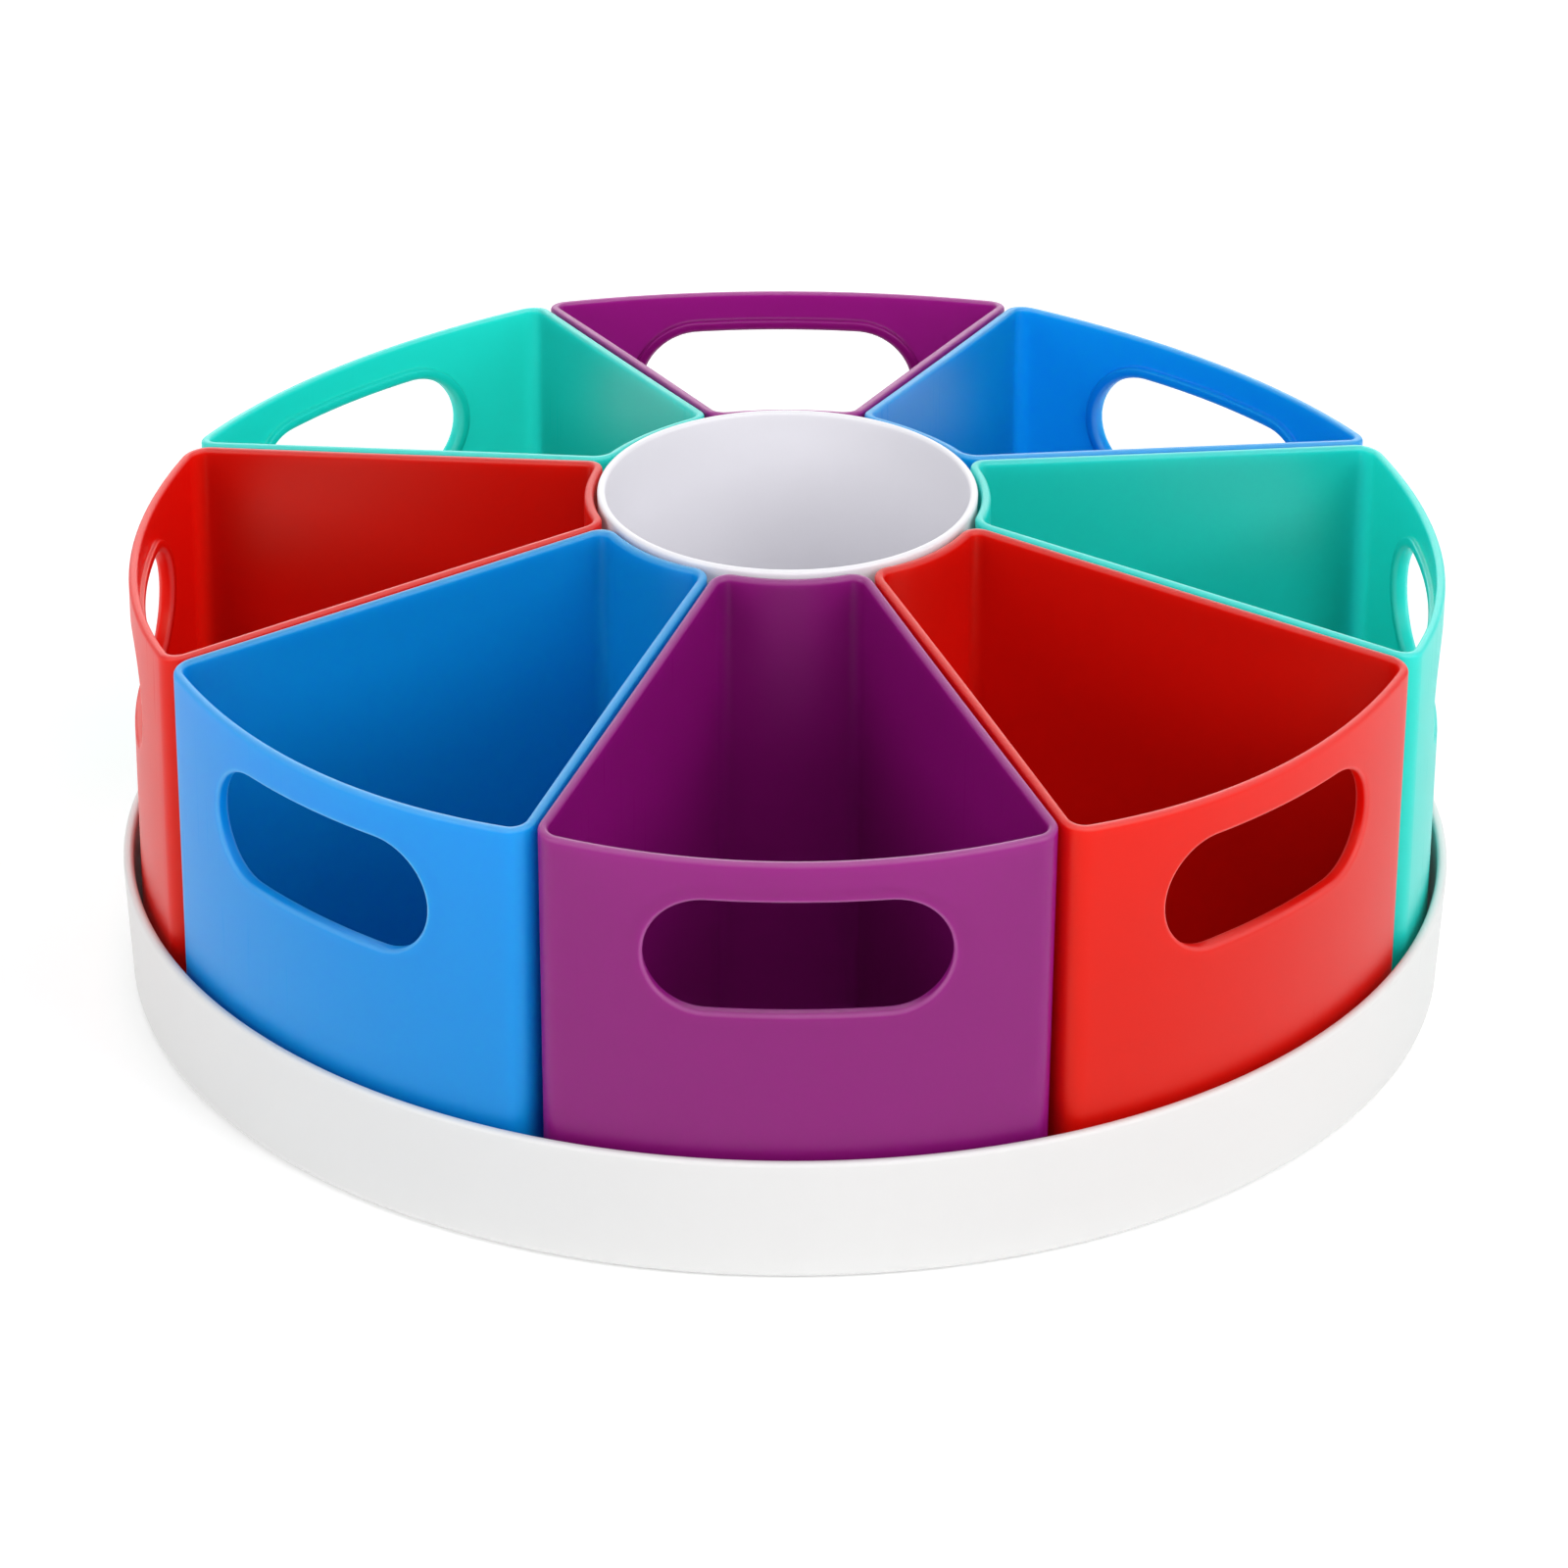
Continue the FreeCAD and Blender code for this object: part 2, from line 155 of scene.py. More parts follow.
class OrganizerColours(bpy.types.PropertyGroup):
    """Colours of the mouldings."""
    purple: paint("Purple", "Purple bins", (0.535, 0.048, 0.458))
    red: paint("Red", "Red bins", (0.830, 0.045, 0.015))
    teal: paint("Teal", "Teal bins", (0.085, 0.800, 0.750))
    blue: paint("Blue", "Blue bins", (0.010, 0.545, 0.855))
    tray: paint("Tray white", "Tray", (0.868, 0.868, 0.865))
    cup: paint("Cup white", "Cup", (0.940, 0.935, 0.958))
    rubber: paint("Rubber", "Feet", (0.440, 0.440, 0.450))


class OrganizerStage(bpy.types.PropertyGroup):
    """Camera, floor and light."""
    lens: FloatProperty(name="Lens", description="Focal length on a 36 mm sensor", default=176.3,
                        min=20.0, max=1000.0, subtype="DISTANCE_CAMERA", unit="CAMERA")
    distance: length("Distance", "From the camera to the middle of the organizer", 1.7515)
    elevation: angle("Elevation", "Camera's height above the horizon", 27.137)
    azimuth: angle("Azimuth", "Camera's turn to the left of straight ahead", 1.126)
    roll: angle("Roll", "Camera's turn about its own line of sight", 0.355)
    light: FloatProperty(name="Light", description="Strength of all lamps", default=1.0, min=0.0, max=10.0)


# ---- Meshes
HOLD = 0.0007  # spacing of the rows that keep a flat flat beside a rounding
SMALL_ROUNDING = 0.0003  # of the edges on the underside
SUNK = 0.0004  # how far ribs and rings reach into the tray's floor


def linked(name, data):
    """A new object in the scene."""
    made = bpy.data.objects.new(name, data)
    bpy.context.scene.collection.objects.link(made)
    return made


def new_object(name, mesh):
    """A mesh in the scene under its own name, smooth all over."""
    mesh.shade_smooth()
    return linked(name, mesh)


def outward(mesh):
    """Point every face of a closed mesh outwards."""
    work = bmesh.new()
    work.from_mesh(mesh)
    bmesh.ops.recalc_face_normals(work, faces=work.faces)
    if work.calc_volume(signed=True) < 0:
        bmesh.ops.reverse_faces(work, faces=work.faces)
    work.to_mesh(mesh)
    work.free()


def mesh_from(name, points, faces, edge_values):
    """Mesh with an edge attribute, which is 1 on roundings that hands and neighbours rub; it raises the
    roughness there as wear, and lightens the colour there as a painted highlight.
    """
    mesh = bpy.data.meshes.new(name)
    mesh.from_pydata([tuple(p) for p in points], [], faces)
    mesh.attributes.new("edge", "FLOAT", "POINT").data.foreach_set("value", list(edge_values))
    mesh.validate()
    outward(mesh)
    return mesh


def quarter(steps):
    """Steps of a quarter turn: 1 less the sine, 1 less the cosine, and the angle."""
    angles = [math.pi / 2 * i / steps for i in range(steps + 1)]
    return [(1 - math.sin(a), 1 - math.cos(a), a) for a in angles]


class Wedge:
    """Plan shape of a bin along +X.

    A point of the bin is given by its station round the outline, its depth into the wall from
    the outside, and its height. The stations start at the front wall's right end, run along the
    front wall, and go back along one side, round the cup and forward along the other side.
    """
    FRONT, CORNER, SIDE, BACK = 46, 9, 14, 16  # stations along each part of the outline
    CORNER_CELL = 0.012  # share of a side that the cell next to a corner takes
    LEAST_CORNER = 0.0008  # a corner's radius never gets smaller, however deep the row
    RIM_PASSES = 3  # the rim's height and its radius settle together

    def __init__(self, sizes):
        self.sizes = sizes
        self.taper = math.tan(sizes.draft)
        self.radius = -BIN_LOW.y  # outside of the front wall at the front rim
        self.back_radius = CUP_HIGH.x + sizes.cup_gap
        self.low = BIN_LOW.z
        self.high = BIN_HIGH.z
        inner = [self.CORNER_CELL + (1 - 2 * self.CORNER_CELL) * i / (self.SIDE - 2)
                 for i in range(self.SIDE - 1)]
        self.side_shares = np.array([0.0] + inner)
        self.count = len(self.outline(0.0, self.low))

    def outline(self, depth, z):
        """Plan points of all stations at one depth and one height."""
        sizes = self.sizes
        inset = depth + (sizes.front_height - z) * self.taper
        outer, inner, side = self.radius - inset, self.back_radius + inset, sizes.gap / 2 + inset
        front_corner = max(sizes.front_corner - depth, self.LEAST_CORNER)
        back_corner = max(sizes.back_corner - depth, self.LEAST_CORNER)
        front_turn = HALF_PITCH - math.asin((side + front_corner) / (outer - front_corner))
        back_turn = HALF_PITCH - math.asin((side + back_corner) / (inner + back_corner))
        front_centre = (outer - front_corner) * np.array([math.cos(front_turn), math.sin(front_turn)])
        back_centre = (inner + back_corner) * np.array([math.cos(back_turn), math.sin(back_turn)])
        side_turn = HALF_PITCH + math.pi / 2

        def arc(centre, radius, start, end, count):
            turns = start + (end - start) * np.arange(count) / count
            return centre + radius * np.stack([np.cos(turns), np.sin(turns)], axis=1)

        normal = np.array([math.cos(side_turn), math.sin(side_turn)])
        front_side = front_centre + front_corner * normal
        back_side = back_centre + back_corner * normal
        shares = self.side_shares[:, None]
        bow = sizes.bow * np.clip((z - self.low) / (self.high - self.low), 0, 1) ** 2
        side_points = front_side + (back_side - front_side) * shares
        side_points -= normal * bow * np.sin(math.pi * shares)
        mirror = np.array([1.0, -1.0])
        upper = [
            arc(front_centre, front_corner, front_turn, side_turn, self.CORNER),
            side_points,
            arc(back_centre, back_corner, side_turn, back_turn + math.pi, self.CORNER),
        ]
        run = np.concatenate(upper)
        back_start = inner * np.array([[math.cos(back_turn), math.sin(back_turn)]])
        lower = np.concatenate([run, back_start])[::-1][:-1] * mirror
        front = arc(np.zeros(2), outer, -front_turn, front_turn, self.FRONT)
        back = arc(np.zeros(2), inner, back_turn, -back_turn, self.BACK)
        return np.concatenate([front, run, back, lower])

    def row(self, depth, z):
        """Points of all stations at one depth; z is one height, or one for each station."""
        low, high = self.outline(depth, self.low), self.outline(depth, self.high)
        z = np.broadcast_to(np.asarray(z, float), len(low))
        share = ((z - self.low) / (self.high - self.low))[:, None]
        return np.concatenate([low + (high - low) * share, z[:, None]], axis=1)

    def rim_height(self, depth):
        """Height of the sloping rim plane at each station, this deep in the wall."""
        z = np.full(self.count, self.sizes.front_height)
        for _ in range(self.RIM_PASSES):
            x = self.row(depth, z)[:, 0]
            z = self.sizes.front_height + self.sizes.rim_slope * (self.radius - x)
        return z

    def on_front(self, across, z, depth):
        """Points on the front wall, this deep in it, from their place across it and their height."""
        radius = self.radius - depth - (self.sizes.front_height - z) * self.taper
        return np.stack([np.sqrt(radius ** 2 - across ** 2), across, z], axis=1)


class BinSurface:
    """Closed quad mesh of one bin along +X, built as rows up the outside, over the rim and down inside."""
    PANEL_MARGIN = 5  # cells of the front wall on each side of the slot's panel
    PANEL_ROWS = 14
    ROWS_BELOW = 7  # rows between the floor and the slot's panel
    PANEL_LOW = 0.0575  # heights that the slot's panel runs between
    PANEL_HIGH = 0.0968
    ROUND_STEPS = 5
    LIP_STEPS = 3
    FADE = (0.35, 0.7, 1.0)  # places of the rings between the panel's edge and the slot
    NICK = 0.0002  # small rounding of the foot rim's inner edge

    def __init__(self, sizes):
        self.sizes = sizes
        self.wedge = Wedge(sizes)
        self.points = []
        self.edge = []
        self.faces = []
        self.inner_floor = self.wedge.low + sizes.floor

    def add(self, points, edge=0.0):
        """Add a loop of points and return their numbers."""
        first = sum(len(p) for p in self.points)
        self.points.append(points)
        self.edge += [edge] * len(points)
        return list(range(first, first + len(points)))

    def bridge(self, a, b, skip=()):
        """Quads between two closed loops, leaving out the cells in skip."""
        count = len(a)
        for i in range(count):
            if i not in skip:
                j = (i + 1) % count
                self.faces.append((a[i], a[j], b[j], b[i]))

    def bridge_all(self, loops):
        """Quads between each loop and the next."""
        for a, b in zip(loops, loops[1:]):
            self.bridge(a, b)

    def wall_rows(self, depth, low, high):
        """Rows of one side of the wall, between two heights, with those that hold the slot's panel."""
        middle = self.wedge.FRONT // 2
        span = high[middle] - low[middle]
        start, end = [(z - low[middle]) / span for z in (self.PANEL_LOW, self.PANEL_HIGH)]
        hold = HOLD / span
        shares = [0.0, hold] + list(np.linspace(hold, start, self.ROWS_BELOW + 1)[1:])
        first = len(shares) - 1
        shares += list(np.linspace(start, end, self.PANEL_ROWS + 1)[1:])
        shares += [1 - hold, 1.0]
        return [self.add(self.wedge.row(depth, low + (high - low) * s)) for s in shares], first

    def panel_edge(self, rows, first):
        """The loop of points round the hole that is left in a wall for the slot's panel."""
        left, right = self.PANEL_MARGIN, self.wedge.FRONT - self.PANEL_MARGIN
        top = first + self.PANEL_ROWS
        loop = [rows[first][c] for c in range(left, right)]
        loop += [rows[r][right] for r in range(first, top)]
        loop += [rows[top][c] for c in range(right, left, -1)]
        loop += [rows[r][left] for r in range(top, first, -1)]
        return loop

    def wall(self, rows, first):
        """Join the rows of one side of the wall, leaving the slot's panel open."""
        hole = range(self.PANEL_MARGIN, self.wedge.FRONT - self.PANEL_MARGIN)
        for r, (a, b) in enumerate(zip(rows, rows[1:])):
            inside = first <= r < first + self.PANEL_ROWS
            self.bridge(a, b, hole if inside else ())

    def slot(self, outer_loop, inner_loop):
        """The finger slot: panels round it, rounded edges, and the lip on the inside."""
        sizes, wedge = self.sizes, self.wedge
        radius = sizes.slot_height / 2
        reach = sizes.slot_length / 2 - radius
        centre_z = sizes.front_height - sizes.slot_below_rim - radius
        everything = np.concatenate(self.points)
        outer, inner = everything[outer_loop][:, 1:], everything[inner_loop][:, 1:]
        middle = np.stack([np.clip(outer[:, 0], -reach, reach), np.full(len(outer), centre_z)], axis=1)
        away = outer - middle
        away /= np.linalg.norm(away, axis=1)[:, None]

        def ring(outset, depth, edge=0.0):
            flat = middle + away * (radius + outset)
            return self.add(wedge.on_front(flat[:, 0], flat[:, 1], depth), edge)

        def fade(start, outset, depth, shares):
            """Rings on a wall between the panel's edge and an outline round the slot."""
            end = middle + away * (radius + outset)
            rings = []
            for share in shares:
                flat = start + (end - start) * share
                rings.append(self.add(wedge.on_front(flat[:, 0], flat[:, 1], depth)))
            return rings

        r, lip_r = sizes.slot_rounding, sizes.lip_rounding
        lip_face = sizes.wall + sizes.lip_depth
        lip_end = sizes.lip_width + lip_r
        loops = [outer_loop] + fade(outer, r + HOLD, 0.0, self.FADE)
        turns, lip_turns = quarter(self.ROUND_STEPS), quarter(self.LIP_STEPS)
        # Edge values on the slot's roundings: rubbed wear and a painted highlight.
        loops += [ring(r * s, r * c, math.sin(2 * a)) for s, c, a in turns]
        loops += [ring(r * c, lip_face - r * s, math.sin(2 * a)) for s, c, a in turns]
        loops += [ring(sizes.lip_width - lip_r * s, lip_face - lip_r * c) for s, c, _ in lip_turns]
        loops += [ring(lip_end - lip_r * math.cos(a), sizes.wall + lip_r * s) for s, _, a in lip_turns]
        loops += fade(inner, lip_end + HOLD, sizes.wall, self.FADE[::-1]) + [inner_loop]
        self.bridge_all(loops)

    def build(self):
        """Make the mesh."""
        sizes, wedge = self.sizes, self.wedge
        low, floor = wedge.low, self.inner_floor
        r, bottom, fillet = sizes.rim_rounding, sizes.bottom_rounding, sizes.inner_fillet
        flat = np.full(wedge.count, 1.0)
        loops = [self.add(wedge.row(d, z)) for d, z in (
            (sizes.foot_rim + HOLD, low + sizes.foot_recess),
            (sizes.foot_rim, low + sizes.foot_recess),
            (sizes.foot_rim, low + self.NICK),
            (sizes.foot_rim - self.NICK, low),
            (bottom + HOLD, low),
        )]
        self.faces.append(tuple(loops[0][::-1]))
        turns = quarter(self.ROUND_STEPS)
        loops += [self.add(wedge.row(bottom * s, low + bottom * c), 0.5 * math.sin(2 * a))
                  for s, c, a in turns[:-1]]
        self.bridge_all(loops)
        outer_rows, first = self.wall_rows(0.0, flat * (low + bottom), wedge.rim_height(0.0) - r)
        self.bridge(loops[-1], outer_rows[0])
        self.wall(outer_rows, first)
        over = [outer_rows[-1]]
        # The rim's roundings get the full edge value: rubbed wear and a painted highlight on the colour.
        for side, steps in ((0.0, turns[1:]), (sizes.wall, turns[:0:-1])):
            for s, c, a in steps:
                depth = abs(side - r * c)
                z = wedge.rim_height(depth) - r * s
                over.append(self.add(wedge.row(depth, z), math.sin(a)))
        inner_rows, inner_first = self.wall_rows(
            sizes.wall, flat * (floor + fillet), wedge.rim_height(sizes.wall) - r)
        over.append(inner_rows[-1])
        self.bridge_all(over)
        self.wall(inner_rows, inner_first)
        bowl = [inner_rows[0]]
        bowl += [self.add(wedge.row(sizes.wall + fillet * c, floor + fillet * s)) for s, c, _ in turns[1:]]
        bowl.append(self.add(wedge.row(sizes.wall + fillet + HOLD, floor)))
        self.bridge_all(bowl)
        self.faces.append(tuple(bowl[-1]))
        self.slot(self.panel_edge(outer_rows, first), self.panel_edge(inner_rows, inner_first))
        return mesh_from("bin_pattern", np.concatenate(self.points), self.faces, self.edge)


# ---- Turned pieces: sections of the cup, tray and feet

class Section:
    """Outline of a turned piece as (radius, height) points, with the edge attribute of each."""

    def __init__(self):
        self.points = []
        self.edge = []

    def to(self, *points):
        """Straight on through these points."""
        self.points += points
        self.edge += [0.0] * len(points)

    def round(self, centre, radius, start, end, edge_weight=0.0, steps=6):
        """A rounding about a centre, between two directions in degrees, whose edge value peaks in the
        middle: rubbed wear and a painted highlight.
        """
        for i in range(steps + 1):
            turn = math.radians(start + (end - start) * i / steps)
            self.points.append((centre[0] + radius * math.cos(turn), centre[1] + radius * math.sin(turn)))
            self.edge.append(edge_weight * math.sin(math.pi * i / steps))

    def rim(self, radius, height, wall, r):
        """Over a rim from its outside to its inside."""
        self.round((radius - r, height - r), r, 0, 90, 1.0)
        self.round((radius - wall + r, height - r), r, 90, 180, 1.0)

    def mesh(self, name):
        """The section as loose edges in the XZ plane."""
        mesh = bpy.data.meshes.new(name)
        pairs = [(i, i + 1) for i in range(len(self.points) - 1)]
        mesh.from_pydata([(r, 0.0, z) for r, z in self.points], pairs, [])
        mesh.attributes.new("edge", "FLOAT", "POINT").data.foreach_set("value", self.edge)
        return mesh


RING_ROUNDING = 0.4  # of the cup ring's top edges, as a share of its wall
BAND_ROUNDING = 0.0004  # of the inner edge of the band under the tray
PAD_DISH = 0.0002  # depth of the dish in a foot pad's lower face
PAD_DISH_FLAT, PAD_DISH_EDGE = 0.55, 0.62  # where the dish ends, as shares of the pad's radius
SOCKET_CLEARANCE = 0.0001  # between a foot pad and its socket
RIB_ROUNDING = 0.25  # of a rib's lower edges, as a share of its width


def cup_section(sizes):
    """Cup from the middle of its underside, up the outside, over the rim and down inside."""
    low, high, rim = CUP_LOW.z, CUP_HIGH.z, CUP_HIGH.x
    slope = math.tan(sizes.draft)
    foot = rim - (high - low) * slope
    inside_floor = low + sizes.floor
    bottom, r = sizes.bottom_rounding, sizes.rim_rounding

    def outer(z):
        return rim - (high - z) * slope

    section = Section()
    section.to((0.0, low + sizes.foot_recess), (foot - sizes.foot_rim - HOLD, low + sizes.foot_recess),
               (foot - sizes.foot_rim, low + sizes.foot_recess), (foot - sizes.foot_rim, low),
               (foot - bottom - HOLD, low))
    section.round((foot - bottom, low + bottom), bottom, -90, 0, 0.5)
    section.to((outer(low + bottom + HOLD), low + bottom + HOLD), (outer(high - r - HOLD), high - r - HOLD))
    section.rim(rim, high, sizes.wall, r)
    fillet = bottom
    inside = outer(inside_floor + fillet) - sizes.wall
    section.to((outer(high - r - HOLD) - sizes.wall, high - r - HOLD),
               (inside, inside_floor + fillet + HOLD))
    section.round((inside - fillet, inside_floor + fillet), fillet, 0, -90)
    section.to((inside - fillet - HOLD, inside_floor), (0.0, inside_floor))
    return section


def tray_section(sizes, cup_draft):
    """Tray from the middle of its underside, up the outside, over the rim and in to the middle."""
    low, high, rim = TRAY_LOW.z, TRAY_HIGH.z, TRAY_HIGH.x
    base = rim - sizes.lean
    band = base - sizes.skirt_band
    under, floor = low + sizes.recess, BIN_LOW.z
    bottom, r, fillet = sizes.bottom_rounding, sizes.rim_rounding, sizes.inner_fillet
    ring_in = CUP_HIGH.x - (CUP_HIGH.z - floor) * math.tan(cup_draft) + sizes.ring_clearance
    ring_out, ring_top = ring_in + sizes.ring_wall, floor + sizes.ring_height
    ring_r = sizes.ring_wall * RING_ROUNDING
    inside = base - sizes.wall
    nick = BAND_ROUNDING
    section = Section()
    section.to((0.0, under), (band - HOLD - nick, under), (band - nick, under), (band, under - nick),
               (band, low + nick))
    section.round((band + nick, low + nick), nick, 180, 270, steps=3)
    section.to((base - bottom - HOLD, low))
    section.round((base - bottom, low + bottom), bottom, -90, 0, 0.6)
    section.to((base, low + bottom + HOLD), (rim, high - r - HOLD))
    section.rim(rim, high, sizes.wall, r)
    section.to((rim - sizes.wall, high - r - HOLD), (inside, floor + fillet + HOLD))
    section.round((inside - fillet, floor + fillet), fillet, 0, -90)
    section.to((inside - fillet - HOLD, floor), (ring_out + HOLD, floor), (ring_out, floor))
    section.round((ring_out - ring_r, ring_top - ring_r), ring_r, 0, 90, steps=4)
    section.round((ring_in + ring_r, ring_top - ring_r), ring_r, 90, 180, steps=4)
    section.to((ring_in, floor), (ring_in - HOLD, floor), (0.0, floor))
    return section


def foot_section():
    """One foot pad about its own axis, from the middle of its lower face to that of its top."""
    radius = (FOOT_HIGH.x - FOOT_LOW.x) / 2
    low, high, r = FOOT_LOW.z, FOOT_HIGH.z, SMALL_ROUNDING
    section = Section()
    section.to((0.0, low + PAD_DISH), (radius * PAD_DISH_FLAT, low + PAD_DISH))
    section.round((radius * PAD_DISH_EDGE, low + PAD_DISH), PAD_DISH, 180, 270, steps=3)
    section.to((radius - r - PAD_DISH, low))
    section.round((radius - r, low + r), r, -90, 0, 0.6, steps=4)
    section.to((radius, high - r))
    section.round((radius - r, high - r), r, 0, 90, steps=3)
    section.to((0.0, high))
    return section


def ring_section(inner, outer, recess):
    """A closed ring under the tray's floor, with its lower edges rounded."""
    low, high, r = TRAY_LOW.z, TRAY_LOW.z + recess + SUNK, SMALL_ROUNDING
    section = Section()
    section.to((inner, high), (inner, low + r))
    section.round((inner + r, low + r), r, 180, 270, steps=3)
    section.round((outer - r, low + r), r, 270, 360, steps=3)
    section.to((outer, high), (inner, high))
    return section


def rib_mesh(sizes):
    """One rib along +X under the tray's floor, with its lower edges rounded."""
    start = sizes.hub_radius - sizes.rib_width / 2
    end = TRAY_HIGH.x - sizes.lean - sizes.skirt_band + SUNK
    low, high = TRAY_LOW.z, TRAY_LOW.z + sizes.recess + SUNK
    work = bmesh.new()
    bmesh.ops.create_cube(work, size=1.0)
    for vert in work.verts:
        vert.co.x = start if vert.co.x < 0 else end
        vert.co.y *= sizes.rib_width
        vert.co.z = low if vert.co.z < 0 else high
    lower = [e for e in work.edges if all(v.co.z < (low + high) / 2 for v in e.verts)]
    bmesh.ops.bevel(work, geom=lower, offset=sizes.rib_width * RIB_ROUNDING, segments=3, profile=0.5,
                    affect="EDGES")
    mesh = bpy.data.meshes.new("rib")
    work.to_mesh(mesh)
    work.free()
    return mesh


# ---- Geometry trees

SEAM = 1e-6  # points nearer than this are one point


class Tree:
    def __init__(self, name, kind, inputs, outputs):
        self.tree = bpy.data.node_groups.new(name, kind)
        for label, socket, default in inputs:
            item = self.tree.interface.new_socket(label, in_out="INPUT", socket_type="NodeSocket" + socket)
            if default is not None:
                item.default_value = default
        for label, socket in outputs:
            self.tree.interface.new_socket(label, in_out="OUTPUT", socket_type="NodeSocket" + socket)
        self.given = self.tree.nodes.new("NodeGroupInput").outputs
        self.leave = self.tree.nodes.new("NodeGroupOutput")

    def node(self, kind, links=None, out=0, **settings):
        """One result of a new node, with its inputs fed from sockets or plain values."""
        node = self.tree.nodes.new(kind)
        for key, value in settings.items():
            setattr(node, key, value)
        for key, source in (links or {}).items():
            if isinstance(source, bpy.types.NodeSocket):
                self.tree.links.new(source, node.inputs[key])
            else:
                node.inputs[key].default_value = source
        return node.outputs[out]

    def math(self, operation, a, b=0.0, clamp=False):
        """A math node's result."""
        return self.node("ShaderNodeMath", {0: a, 1: b}, operation=operation, use_clamp=clamp)

    def finish(self, **results):
        """Join results to the tree's outputs and return the tree."""
        for label, socket in results.items():
            self.tree.links.new(socket, self.leave.inputs[label.replace("_", " ")])
        return self.tree

    def paint(self, made):
        """Make the copies real, give them the finish and end the tree."""
        real = self.node("GeometryNodeRealizeInstances", {0: made})
        return self.finish(Geometry=self.node("GeometryNodeSetMaterial", {
            "Geometry": real, "Material": self.given["Finish"]}))

    def noise(self, place, **values):
        """A noise texture's value."""
        links = {key.title(): value for key, value in values.items()}
        return self.node("ShaderNodeTexNoise", {"Vector": place, **links}, out="Fac")


def geometry_tree(name, *inputs):
    """A tree that changes geometry and gives it a finish."""
    return Tree(name, "GeometryNodeTree", [
        ("Geometry", "Geometry", None), *inputs, ("Finish", "Material", None)], [("Geometry", "Geometry")])


def placing_tree():
    """Turn a bin's pattern about the tray's axis into its own place."""
    tree = geometry_tree("Turn Into Place", ("Turn", "Float", 0.0))
    turn = tree.node("ShaderNodeCombineXYZ", {2: tree.given["Turn"]})
    return tree.paint(tree.node("GeometryNodeTransform", {
        "Geometry": tree.given["Geometry"], "Rotation": turn}))


def turning_tree():
    """Turn a section round Z, close its seam and poles, and move the result to its place."""
    tree = geometry_tree("Turned Section", ("Segments", "Int", 128), ("Place", "Vector", None))
    section, segments = tree.given["Geometry"], tree.given["Segments"]
    count = tree.node("GeometryNodeAttributeDomainSize", {"Geometry": section}, out="Point Count")
    columns = tree.math("ADD", segments, 1.0)
    grid = tree.node("GeometryNodeMeshGrid", {"Vertices X": columns, "Vertices Y": count}, out="Mesh")
    index = tree.node("GeometryNodeInputIndex")
    column = tree.math("FLOOR", tree.math("DIVIDE", tree.math("ADD", index, 0.5), count))
    along = tree.math("SUBTRACT", index, tree.math("MULTIPLY", column, count))
    turn = tree.math("DIVIDE", tree.math("MULTIPLY", column, 2 * math.pi), segments)
    position = tree.node("GeometryNodeInputPosition")
    named = tree.node("GeometryNodeInputNamedAttribute", {"Name": "edge"}, data_type="FLOAT")
    point = tree.node("GeometryNodeSampleIndex", {"Geometry": section, "Value": position, "Index": along},
                      data_type="FLOAT_VECTOR")
    # The edge attribute, for rubbed wear and a painted highlight, carries over to the turned mesh.
    edge_weight = tree.node("GeometryNodeSampleIndex", {"Geometry": section, "Value": named, "Index": along},
                     data_type="FLOAT")
    x, z = [tree.node("ShaderNodeSeparateXYZ", {0: point}, out=axis) for axis in "XZ"]
    around = tree.node("ShaderNodeCombineXYZ", {
        0: tree.math("MULTIPLY", x, tree.math("COSINE", turn)),
        1: tree.math("MULTIPLY", x, tree.math("SINE", turn)),
        2: z})
    shaped = tree.node("GeometryNodeSetPosition", {"Geometry": grid, "Position": around})
    kept = tree.node("GeometryNodeStoreNamedAttribute", {
        "Geometry": shaped, "Name": "edge", "Value": edge_weight}, data_type="FLOAT", domain="POINT")
    closed = tree.node("GeometryNodeMergeByDistance", {"Geometry": kept, "Distance": SEAM})
    return tree.paint(tree.node("GeometryNodeTransform", {
        "Geometry": closed, "Translation": tree.given["Place"]}))


def repeating_tree():
    """Repeat a piece round Z at even turns."""
    tree = geometry_tree("Repeat Round Axis", ("Count", "Int", 8), ("First Turn", "Float", 0.0))
    count = tree.given["Count"]
    axis = tree.node("GeometryNodePoints", {"Count": count})
    index = tree.node("GeometryNodeInputIndex")
    step = tree.math("DIVIDE", 2 * math.pi, count)
    turn = tree.math("ADD", tree.math("MULTIPLY", index, step), tree.given["First Turn"])
    spin = tree.node("ShaderNodeCombineXYZ", {2: turn})
    return tree.paint(tree.node("GeometryNodeInstanceOnPoints", {
        "Points": axis, "Instance": tree.given["Geometry"], "Rotation": spin}))


def grown(mesh, tree, **inputs):
    """The plain mesh that a geometry tree makes from a mesh."""
    seed = linked("seed", mesh)
    modifier = seed.modifiers.new("Make", "NODES")
    modifier.node_group = tree
    for item in tree.interface.items_tree:
        value = inputs.get(item.name.replace(" ", "_")) if item.in_out == "INPUT" else None
        if value is not None:
            modifier[item.identifier] = value
    depsgraph = bpy.context.evaluated_depsgraph_get()
    result = bpy.data.meshes.new_from_object(seed.evaluated_get(depsgraph), preserve_all_data_layers=True,
                                             depsgraph=depsgraph)
    seed.modifiers.remove(modifier)
    bpy.data.objects.remove(seed)
    bpy.data.meshes.remove(mesh)
    outward(result)
    return result


def turned(section, name, segments, finish, place=(0.0, 0.0, 0.0)):
    """Mesh of a section turned about its axis."""
    return grown(section.mesh(name), bpy.data.node_groups["Turned Section"], Segments=segments,
                 Place=place, Finish=finish)


def repeated(mesh, count, finish, first_turn=0.0):
    """Mesh repeated round the tray's axis."""
    return grown(mesh, bpy.data.node_groups["Repeat Round Axis"], Count=count, First_Turn=first_turn,
                 Finish=finish)


